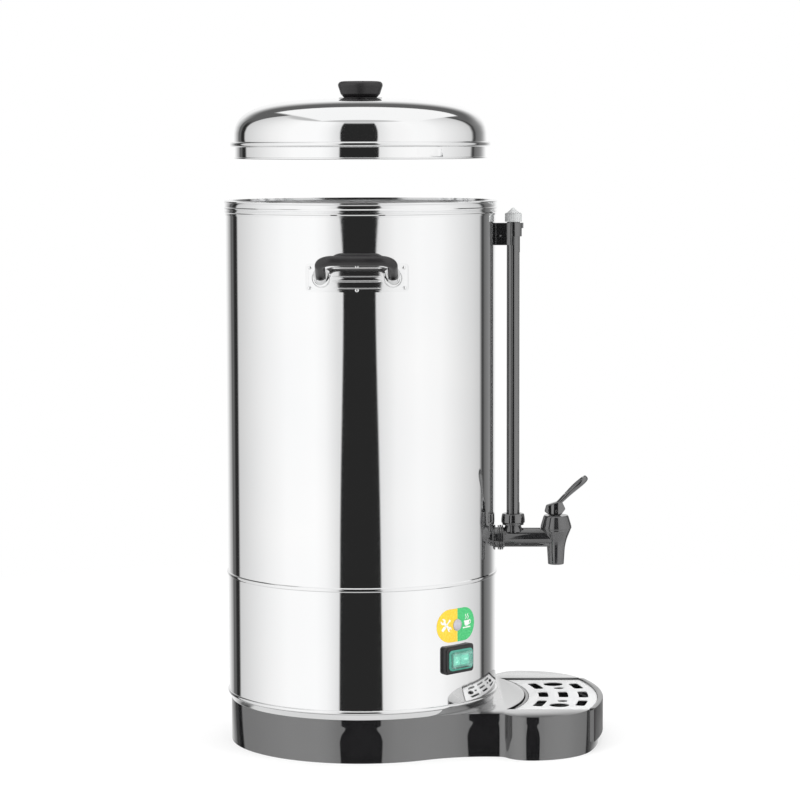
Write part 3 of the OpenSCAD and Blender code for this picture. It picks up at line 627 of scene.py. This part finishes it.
def turned_nodes():
    """Turned, drawn and bent parts without facets, so that they mirror the room cleanly."""
    for node, finish, body, slot in (
            ("rim_ring", trim, "urn", "bright_steel"), ("seam_bead", trim, "urn", "bright_steel"),
            ("sight_guard", moulded_black, "urn", "black_gloss"),
            ("tap_bonnet", tap_black, "urn", "black_gloss"),
            ("handle_grip_front", grip_black, "urn", "black_satin"),
            ("handle_grip_back", grip_black, "urn", "black_satin")):
        hand_over(merged_copy(node), node + "_smooth", finish, body, slot, node, smooth=32)
    knob = rounded_copy("lid_knob", 1.1, 3, 12)
    hand_over(knob, "knob_rounded", grip_black, "lid", "black_satin", "lid_knob", smooth=32)
    foot = rounded_copy("foot_ring", 0.15)
    hand_over(foot, "foot_smooth", trim, "urn", "bright_steel", "foot_ring", smooth=32)


# ---------------------------------------------------------------------------
# Carrying handles
# ---------------------------------------------------------------------------

def rivet(x, z):
    """A low domed rivet head on a plate that faces -Y."""
    head = start(bpy.ops.mesh.primitive_cylinder_add, vertices=20, radius=1.7, depth=2,
                 location=(x, -0.6, z), rotation=(math.radians(90), 0, 0))
    pick(head, lambda spot, way: way.y < -0.9)
    for shrink, lift in ((0.86, 0.34), (0.7, 0.24), (0.5, 0.12)):
        pull((0, -lift, 0))
        grow((shrink, 1, shrink), (x, 0, z))
    return head


def pressed_bar(z, half, thick):
    """A rounded bar pressed out of a plate, with tapered ends."""
    bar = start(bpy.ops.mesh.primitive_cylinder_add, vertices=12, radius=thick / 2, depth=2 * half,
                location=(0, 0, z), rotation=(0, math.radians(90), 0))
    for side in (-1, 1):
        pick(bar, lambda spot, way: way.x * side > 0.9)
        pull((side * 1.2, 0, 0))
        grow((1, 0.6, 0.6), (0, 0, z))
        pull((side * 0.8, 0, 0))
        grow((1, 0.3, 0.3), (0, 0, z))
    return place(bar, move=(0, -1.3, 0))


def handle_plate():
    """Pressed plate with a rolled border, bars between the sockets, beads round them and rivets."""
    wide, high = 92.8, 25.6
    plate = start(bpy.ops.mesh.primitive_plane_add, size=1, scale=(wide, high, 1))
    everything()
    round_off(4, 8, corners=True)
    place(plate, math.radians(90), axis=0)
    open_mesh(plate)
    everything()
    pull((0, -1.2, 0))
    inset(1.3, -0.2)
    inset(0.9)
    inset(0.7, 0.3)
    face_outwards()
    parts = [plate]
    # height, half length and thickness of each bar
    for z, half, thick in ((8.6, 20.0, 1.4), (1.2, 20.0, 1.0), (-3.0, 20.0, 1.8), (-9.2, 19.0, 1.1)):
        parts.append(pressed_bar(z, half, thick))
    # a bead round each socket, then the rivets
    for x in (-32.0, 32.0):
        parts.append(start(bpy.ops.mesh.primitive_torus_add, major_segments=40, minor_segments=10,
                           major_radius=8.1, minor_radius=0.5, location=(x, -1.25, -0.4),
                           rotation=(math.radians(90), 0, 0)))
    for x, z in ((-42.4, 8.9), (-42.8, -9.2), (42.0, 8.9), (42.6, -9.2), (0, 10.2), (0, -10.9)):
        parts.append(rivet(x, z))
    plate = join(*parts)
    bend_round(plate, body_r / MM, 2.5)
    return tidy_shell(place(plate, move=(0, 0, handle_z / MM)))


def handle_plates():
    front = handle_plate()
    back = copy_of(front)
    for plate, side, turn in ((front, "front", 0), (back, "back", math.pi)):
        place(plate, FRONT_HANDLE + turn)
        hand_over(plate, "plate_" + side, trim, "urn", "bright_steel", "handle_plate_" + side,
                  smooth=40)


# ---------------------------------------------------------------------------
# Tap and gauge
# ---------------------------------------------------------------------------

def tap_paddle():
    """Lever of the tap: a hub on the stem and a dished paddle that ends in a lip."""
    hub = block((-10.9, -5.5, 0), (8.8, 5.5, 12.6))
    # the hub's profile and its cheeks are planed off the block
    for spot, way in (((-10.9, 0, 3.2), (-0.57, 0, -0.82)), ((-10.9, 0, 3.2), (-0.96, 0, 0.26)),
                      ((-9.2, 0, 9.3), (-0.28, 0, 0.96)), ((8.8, 0, 5.6), (0.91, 0, 0.42)),
                      ((8.8, 0, 5.6), (0.77, 0, -0.63))):
        cut_at(spot, way, drop_outer=True)
    for side in (-1, 1):
        cut_at((-2.6, side * 5.5, 0), (-0.42, side * 0.91, 0), drop_outer=True)
        cut_at((2.2, side * 5.5, 0), (0.42, side * 0.91, 0), drop_outer=True)
    hub = soften(hub, 0.9, 3, 20)

    # the paddle lies along +X while it is drawn; each station has reach, half width, underside, top
    stations = ((4, 5.4, 0.1, 5.4), (9, 5.2, 0.1, 5.9), (14, 6.0, 0.0, 6.3), (19, 7.4, -0.3, 6.6),
                (24, 8.6, -0.6, 6.5), (29, 9.0, -0.8, 6.2), (33.4, 7.6, -0.5, 5.9),
                (36.0, 4.2, 0.7, 5.4))
    paddle = block((-7.0, -5.6, 0.2), (0, 5.6, 5.0))
    half, low, high, reach = 5.6, 0.2, 5.0, 0.0
    pick(paddle, lambda spot, way: way.x > 0.9)
    for next_reach, next_half, next_low, next_high in stations:
        pull((next_reach - reach, 0, (next_low + next_high - low - high) / 2))
        grow((1, next_half / half, (next_high - next_low) / (high - low)),
             (0, 0, (next_low + next_high) / 2))
        half, low, high, reach = next_half, next_low, next_high, next_reach
    pick(paddle, lambda spot, way: way.z > 0.8 and 9 < spot.x < 34)
    inset(1.7)
    shift((0, 0, -1.9))
    inset(1.0)
    shift((0, 0, -1.6))
    shape_with(paddle, "SUBSURF", levels=3, render_levels=3)
    place(paddle, math.radians(-42.5), (4.4, 0, 9.6), axis=1)
    shape_with(hub, "BOOLEAN", operation="UNION", object=paddle, solver="EXACT")
    bpy.data.objects.remove(paddle)
    tidy_shell(place(hub, move=(spout_x / MM, 0, lever_z / MM)))
    hand_over(hub, "tap_paddle", moulded_black, "tap_handle", "black_gloss", "tap_lever", smooth=40)


def gauge_cap():
    """Cap with a ribbed skirt and a cut, many-sided point."""
    ribs = 48
    skirt = start(bpy.ops.mesh.primitive_cylinder_add, vertices=ribs, radius=7.7, depth=7.6,
                  location=(0, 0, 4.1), end_fill_type="NGON")
    pick(skirt, lambda spot, way: abs(way.z) < 0.1
         and int(round(math.atan2(way.y, way.x) * ribs / (2 * math.pi) - 0.5)) % 2 == 0)
    bpy.ops.mesh.extrude_faces_move(TRANSFORM_OT_shrink_fatten={"value": 0.14 * MM})
    pick(skirt, lambda spot, way: way.z > 0.9)
    inset(0.9)
    pull((0, 0, 0.5))
    inset(0.6)
    pull((0, 0, -0.6))
    soften(skirt, 0.12, 1, 50)
    point = start(bpy.ops.mesh.primitive_cone_add, vertices=9, radius1=6.6, radius2=1.5, depth=4.7,
                  location=(0, 0, 10.25), rotation=(0, 0, math.radians(10)))
    pick(point, lambda spot, way: way.z > 0.9)
    pull((0, 0, 0.5))
    grow((0.3, 0.3, 1))
    soften(point, 0.25, 2, 20)
    plug = start(bpy.ops.mesh.primitive_cylinder_add, vertices=32, radius=4.3, depth=2.8,
                 location=(0, 0, -1.0))
    cap = join(skirt, point, plug)
    place(cap, move=(sight_x / MM, 0, cap_z / MM))
    hand_over(cap, "gauge_cap", clear, "gauge_cap", "clear_cap", "sight_cap", smooth=22)


def collar_discs():
    """Collar between the body and the tap: a plain sleeve with three rounded discs on it."""
    low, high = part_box("tap_collar")
    length, radius, reach = (high.x - low.x) / MM, 9.6, 0.2
    collar = start(bpy.ops.mesh.primitive_cylinder_add, vertices=64, radius=radius, depth=reach,
                   location=(reach / 2, 0, 0), rotation=(0, math.radians(90), 0))
    pick(collar, lambda spot, way: way.x > 0.9)
    # where each disc starts and ends along the collar, and its radius
    for first, last, disc in ((0.27, 0.41, 11.5), (0.46, 0.67, 11.8), (0.72, 0.86, 11.5)):
        pull((first * length - reach, 0, 0))
        for step, size in ((0, disc / radius), (last - first, 1.0), (0, radius / disc)):
            pull((step * length, 0, 0))
            grow((1, size, size))
        reach = last * length
    pull((length - reach, 0, 0))
    face_outwards()
    collar = soften(collar, 0.4, 3, 30)
    place(collar, move=(low.x / MM, 0, (low.z + high.z) / 2 / MM))
    hand_over(collar, "collar_discs", tap_black, "urn", "black_gloss", "tap_collar", smooth=40)


def gauge_nut():
    """Many-sided nut with a round belly."""
    nut = start(bpy.ops.mesh.primitive_cylinder_add, vertices=20, radius=10.2, depth=1.4,
                location=(0, 0, 0.8))
    pick(nut, lambda spot, way: way.z > 0.9)
    for lift, factor in ((0.9, 11.2 / 10.2), (2.8, 1.0), (2.6, 0.97), (2.2, 0.965), (0.6, 0.94)):
        pull((0, 0, lift))
        grow((factor, factor, 1))
    inset(3.1)
    pick(nut, lambda spot, way: way.z < -0.9)
    inset(3.6)
    pick(nut, lambda spot, way: abs(way.z) > 0.9 and math.hypot(spot.x, spot.y) < 1)
    bpy.ops.mesh.delete(type="FACE")
    bpy.context.tool_settings.mesh_select_mode = (False, True, False)
    bpy.ops.mesh.select_non_manifold(extend=False)
    bpy.ops.mesh.bridge_edge_loops()
    face_outwards()
    nut = soften(nut, 0.4, 2, 20)
    place(nut, math.radians(8), (sight_x / MM, 0, nut_z / MM))
    hand_over(nut, "gauge_nut", moulded_black, "urn", "black_gloss", "sight_nut", smooth=25)


# ---------------------------------------------------------------------------
# Switch and label
# ---------------------------------------------------------------------------

def thin_disc(radius, z):
    """A flat printed disc that faces -Y."""
    return start(bpy.ops.mesh.primitive_cylinder_add, vertices=28, radius=radius, depth=0.16,
                 location=(0, 0, z), rotation=(math.radians(90), 0, 0))


def thin_bar(length, width, z, tilt=0.0, round_ends=0.45):
    """A flat printed bar that faces -Y."""
    bar = block((-length / 2, -0.08, -width / 2), (length / 2, 0.08, width / 2))
    pick(bar, lambda spot, way: abs(way.y) > 0.9, edges=True)
    round_off(width * round_ends, 4)
    return place(bar, math.radians(tilt), (0, 0, z), axis=1)


def carve(piece, tool):
    """Cuts the tool's shape out of a piece and throws the tool away."""
    shape_with(piece, "BOOLEAN", operation="DIFFERENCE", object=tool, solver="EXACT")
    bpy.data.objects.remove(tool)
    return piece


def enlarge(sign, factor, move):
    sign.scale = (factor, 1, factor)
    return place(sign, move=move)


def spanner_and_driver():
    """Crossed tools on the service half."""
    head = carve(thin_disc(2.5, 4.6), block((-1.0, -1, 4.2), (1.0, 1, 8)))
    foot = carve(thin_disc(2.0, -4.8), block((-0.8, -1, -8), (0.8, 1, -4.9)))
    spanner = join(thin_bar(8.4, 1.9, 0, 90), head, foot)
    place(spanner, math.radians(-45), axis=1)
    driver = join(thin_bar(4.6, 2.6, -3.8, 90), thin_bar(6.2, 1.0, 1.4, 90),
                  thin_bar(1.6, 1.7, 5.0, 90, 0.2))
    place(driver, math.radians(45), axis=1)
    return enlarge(join(spanner, driver), 1.12, (-13.6, 0, 0.9))


def steaming_cup():
    """Cup on a saucer with two wisps of steam, on the ready half."""
    bowl = block((-3.1, -0.08, -2.0), (3.1, 0.08, 2.0))
    pick(bowl, lambda spot, way: way.z < -0.9)
    grow((0.68, 1, 1))
    pick(bowl, lambda spot, way: abs(way.y) > 0.9 and spot.z < 0, edges=True)
    round_off(1.2, 4)
    ear = start(bpy.ops.mesh.primitive_torus_add, major_segments=24, minor_segments=8,
                major_radius=1.35, minor_radius=0.34, location=(3.2, 0, 0.5),
                rotation=(math.radians(90), 0, 0))
    everything()
    grow((1, 0.24, 1))
    parts = [bowl, ear, thin_bar(8.6, 0.9, -3.1)]
    for x in (-1.2, 1.2):
        wisp = block((x - 0.35, -0.08, 2.9), (x + 0.35, 0.08, 3.4))
        pick(wisp, lambda spot, way: way.z > 0.9)
        for sway in (0.45, 0.2, -0.35, -0.45, -0.1, 0.35):
            pull((sway, 0, 0.55))
        parts.append(wisp)
    return enlarge(join(*parts), 1.25, (12.6, 0, 0.4))


def label_signs():
    """Two small white signs printed on the films."""
    signs = join(spanner_and_driver(), steaming_cup())
    bend_round(signs, body_r / MM + 0.38, 1.5)
    place(signs, CONTROLS, (0, 0, label_z / MM))
    hand_over(tidy_shell(signs), "label_signs", film_white, "urn", "label_yellow")


def switch_window():
    """Soft cover over the rocker: a flat rim and a raised clear window with a groove round it."""
    cover = start(bpy.ops.mesh.primitive_plane_add, size=1, scale=(29.4, 18.6, 1))
    everything()
    round_off(3.6, 6, corners=True)
    place(cover, math.radians(90), (0, -switch_face, 0), axis=0)
    open_mesh(cover)
    everything()
    pull((0, -1.2, 0))
    inset(1.9)
    pull((0, -1.6, 0))
    pull((0, -0.9, 0))
    grow((0.94, 1, 0.9))
    inset(1.7)
    pull((0, 0.5, 0))
    inset(0.4)
    pull((0, -0.6, 0))
    face_outwards()
    cover = soften(cover, 0.3, 2, 30)
    cover = carve(cover, block((-11.4, -switch_face - 2.6, -6.3), (11.4, -switch_face + 1, 6.3)))
    place(cover, CONTROLS, (0, 0, switch_z / MM))
    hand_over(cover, "switch_window", flange_green, "urn", "green_clear", "switch_cover", smooth=40)
    outward = Vector((math.sin(CONTROLS), -math.cos(CONTROLS), 0))
    second_finish(cover, window_green, lambda spot, way: spot.dot(outward) > switch_face + 1.3)


def rocker_marks():
    """The rocker's windows and its off and on marks, which glow with painted light; while it is off,
    its on side stands out.
    """
    off = start(bpy.ops.mesh.primitive_torus_add, major_segments=28, minor_segments=8,
                major_radius=2.1, minor_radius=0.65, location=(-5.2, 0, 0),
                rotation=(math.radians(90), 0, 0))
    everything()
    grow((0.72, 0.8, 1.1), (-5.2, 0, 0))
    off = place(off, move=(0, -switch_face - 0.35, 0))
    on = soften(block((-2.0, -0.4, -0.7), (2.0, 0.4, 0.7)), 0.25, 2)
    on = place(on, math.radians(-10), (5.2, -switch_face - 1.25, 0))
    marks = join(off, on)
    place(marks, CONTROLS, (0, 0, switch_z / MM))
    # the marks glow with painted light from their finish
    hand_over(marks, "rocker_marks", mark_painted_glow, "rocker", "green_clear")
    # the two windows on the rocker face, which glow with painted light from their finish
    glow_pads = []
    for side, lift, tilt in ((-1, 0.0, 0), (1, 0.9, -10)):
        lamp = soften(block((-4.2, -0.3, -4.6), (4.2, 0.3, 4.6)), 0.25, 2)
        glow_pads.append(place(lamp, math.radians(tilt), (side * 4.6, -switch_face - lift, 0)))
    glow_pads = join(*glow_pads)
    place(glow_pads, CONTROLS, (0, 0, switch_z / MM))
    hand_over(glow_pads, "rocker_painted_glow", green_painted_glow, "rocker", "green_clear")


# ---------------------------------------------------------------------------
# Back, inside and underside
# ---------------------------------------------------------------------------

def weld_line():
    """Rolled-over weld that closes the shell at the back."""
    low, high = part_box("outer_shell")
    seam = block((-1.6, -0.35, low.z / MM + 5), (1.6, 0.3, high.z / MM - 9.5))
    pick(seam, lambda spot, way: abs(way.z) > 0.9 and spot.y > 0, edges=True)
    round_off(0.28, 3)
    place(seam, move=(0, body_r / MM, 0))
    hand_over(seam, "shell_weld", machined, "urn", "shell_steel")


def cover_screws():
    """Cross-head screws that hold the bottom cover."""
    screw = start(bpy.ops.mesh.primitive_cylinder_add, vertices=32, radius=3.5, depth=1.3,
                  location=(0, 0, 1.35))
    pick(screw, lambda spot, way: way.z < -0.9)
    round_off(0.7, 4)
    for wide, deep in ((3.4, 0.7), (0.7, 3.4)):
        screw = carve(screw, block((-wide / 2, -deep / 2, 0), (wide / 2, deep / 2, 1.4)))
    circle = 84     # radius of the circle the screws stand on
    for number, degrees in enumerate((45, 135, 225, 315), 1):
        one = copy_of(screw)
        turn = math.radians(degrees)
        place(one, turn + 0.4, (circle * math.cos(turn), circle * math.sin(turn), 0))
        hand_over(one, "cover_screw_%d" % number, machined, "urn", "stem_steel")
    bpy.data.objects.remove(screw)


def level_bead():
    """Pressed bead inside the tank that marks how far it is filled."""
    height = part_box("inner_tank")[1].z / MM - 52
    bead = start(bpy.ops.mesh.primitive_torus_add, major_segments=160, minor_segments=10,
                 major_radius=tank_r / MM - 0.9, minor_radius=1.0, location=(0, 0, height))
    everything()
    grow((1, 1, 1.6), (0, 0, height))
    hand_over(bead, "level_bead", tank_inside, "urn", "tank_steel")


rounded_base()
smooth_lid()
rounded_nodes()
turned_nodes()
handle_plates()
tap_paddle()
gauge_cap()
gauge_nut()
collar_discs()
label_signs()
switch_window()
rocker_marks()
weld_line()
cover_screws()
level_bead()


# ---------------------------------------------------------------------------
# Studio
# ---------------------------------------------------------------------------

def studio_room():
    """White to the camera; metal and gloss see bright walls, a soft box and a dark doorway."""
    dark, dim, plain = 0.022, 0.12, 0.72    # doorway, upper wall behind, light for matt surfaces
    world = bpy.data.worlds.new("studio_room")
    world.use_nodes = True
    bpy.context.scene.world = world
    world.node_tree.nodes.clear()
    sky = NodeTree(world.node_tree)
    add, calc = sky.node, sky.math

    def reach(value, low, high, to_low=0.0, to_high=1.0):
        return sky.spread(value, to_low, to_high, low, high, "SMOOTHSTEP")

    def blend(share, first, second):
        mix = add("ShaderNodeMix", data_type="FLOAT")
        sky.feed((mix.inputs[0], mix.inputs[2], mix.inputs[3]), (share, first, second))
        return mix.outputs[0]

    def height(degrees):
        return math.sin(math.radians(degrees))

    direction = add("ShaderNodeSeparateXYZ")
    sky.link(add("ShaderNodeTexCoord").outputs["Generated"], direction.inputs["Vector"])
    x, y, z = direction.outputs
    turn = calc("ARCTAN2", x, calc("MULTIPLY", y, -1.0))
    aside = calc("ABSOLUTE", turn)

    # the walls' brightness all around, by the turn in degrees from the front
    around = add("ShaderNodeValToRGB")
    walls = ((-180, 1.0), (-162, 0.87), (-154, 0.58), (-148, 0.36), (-145, 0.11), (-141, 0.15),
             (-137, 0.024), (-131, 0.024), (-128.5, 0.66), (-110, 0.78), (-88, 0.93), (-66, 1.04),
             (-39, 1.06), (-30, 1.0), (-19, 0.8), (15, 0.8), (30, 0.97), (51, 1.03), (71, 1.0),
             (89, 0.88), (110, 0.74), (121, 0.64), (125.5, 0.06), (128.5, 0.06), (130.5, 0.15),
             (141, 0.25), (146.5, 0.36), (153, 0.62), (162, 0.9), (170, 1.0), (180, 1.0))
    ramp = around.color_ramp
    while len(ramp.elements) < len(walls):
        ramp.elements.new(0.5)
    for stop, (degrees, level) in zip(ramp.elements, walls):
        stop.position = degrees / 360 + 0.5
        stop.color = (level, level, level, 1)
    sky.link(calc("ADD", calc("DIVIDE", turn, 2 * math.pi), 0.5), around.inputs["Fac"])

    # behind the urn the wall is bright below and dim above
    behind = reach(aside, math.radians(127), math.radians(131))
    dimmed = calc("MULTIPLY", behind, reach(z, height(14), height(30)))
    wall = blend(dimmed, around.outputs["Color"], dim)

    # the dark doorway in front: narrowest a little under eye level, wider above and near the floor
    half_width = math.radians(13.5)
    for low, high, wider in ((-0.145, -0.05, 3.4), (-0.22, -0.12, 1.6)):
        half_width = calc("ADD", reach(z, low, high, math.radians(wider), 0.0), half_width)
    half_width = calc("ADD", half_width, reach(z, -0.045, -0.015, 0.0, math.radians(3.3)))
    off_centre = calc("ABSOLUTE", calc("ADD", turn, math.radians(0.8)))
    beside = reach(calc("SUBTRACT", off_centre, half_width), -math.radians(0.8), math.radians(0.8))
    wall = blend(calc("MAXIMUM", beside, reach(z, height(42), height(53))), dark, wall)

    # grey ceiling with one large soft box in it
    room = blend(reach(z, height(50), height(56)), wall, 0.55)
    tall = calc("MAXIMUM", z, 0.001)
    across, along = calc("DIVIDE", x, tall), calc("DIVIDE", y, tall)
    inside = calc("MINIMUM",
                  calc("MINIMUM", reach(across, -0.58, -0.5), reach(across, 0.87, 0.78)),
                  calc("MINIMUM", reach(along, -0.5, -0.42), reach(along, 1.16, 1.05)))
    room = blend(calc("MULTIPLY", inside, reach(z, 0.3, 0.4)), room, 1.0)
    room = blend(reach(z, height(-45), height(-25)), 0.75, room)

    seen = add("ShaderNodeLightPath")
    mirrored = calc("MAXIMUM", seen.outputs["Is Glossy Ray"], seen.outputs["Is Transmission Ray"])
    level = blend(seen.outputs["Is Camera Ray"], blend(mirrored, plain, room), 1.0)

    background = add("ShaderNodeBackground")
    background.inputs["Color"].default_value = (1, 1, 1, 1)
    sky.link(level, background.inputs["Strength"])
    sky.link(background.outputs["Background"], add("ShaderNodeOutputWorld").inputs["Surface"])


def studio_floor():
    """Pale floor that keeps a soft shadow."""
    put_down()
    bpy.ops.mesh.primitive_circle_add(vertices=96, radius=9, fill_type="NGON")
    floor = bpy.context.active_object
    floor.name = "studio_floor"
    paper = Finish("floor_paper")
    grain = paper.noise(paper.place, 30.0, 3.0)
    paper.two_tone(grain, (0.97, 0.97, 0.97), (0.99, 0.99, 0.99))
    paper.set(Roughness=0.9, Specular_IOR_Level=0.0)
    glow = paper.node("ShaderNodeEmission")
    seen = paper.node("ShaderNodeLightPath")
    reach = paper.node("ShaderNodeVectorMath", operation="LENGTH")
    paper.link(paper.place, reach.inputs[0])
    share = paper.spread(reach.outputs["Value"], 0.6, 1.0, 0.35, 1.1)
    share = paper.math("MULTIPLY", seen.outputs["Is Camera Ray"], share)
    mix = paper.node("ShaderNodeMixShader")
    paper.link(share, mix.inputs["Fac"])
    paper.link(paper.shader.outputs["BSDF"], mix.inputs[1])
    paper.link(glow.outputs["Emission"], mix.inputs[2])
    paper.link(mix.outputs["Shader"], paper.tree.nodes["Material Output"].inputs["Surface"])
    floor.data.materials.append(paper.material)
    floor.visible_glossy = False


def soft_light(name, place, target, size, power):
    lamp = bpy.data.lights.new(name, "AREA")
    lamp.shape = "DISK"
    lamp.size = size
    lamp.energy = power
    holder = bpy.data.objects.new(name, lamp)
    bpy.context.scene.collection.objects.link(holder)
    holder.location = place
    holder.rotation_euler = (Vector(target) - Vector(place)).to_track_quat("-Z", "Y").to_euler()
    holder.visible_glossy = False


studio_room()
studio_floor()
middle = (0, 0, 0.3)
soft_light("left_box", (-1.6, -1.5, 1.7), middle, 1.4, 30)
soft_light("right_box", (1.7, -1.1, 1.5), middle, 1.2, 16)
soft_light("top_box", (0.1, 0.3, 2.2), middle, 1.6, 18)
bpy.context.scene.view_settings.view_transform = "Standard"
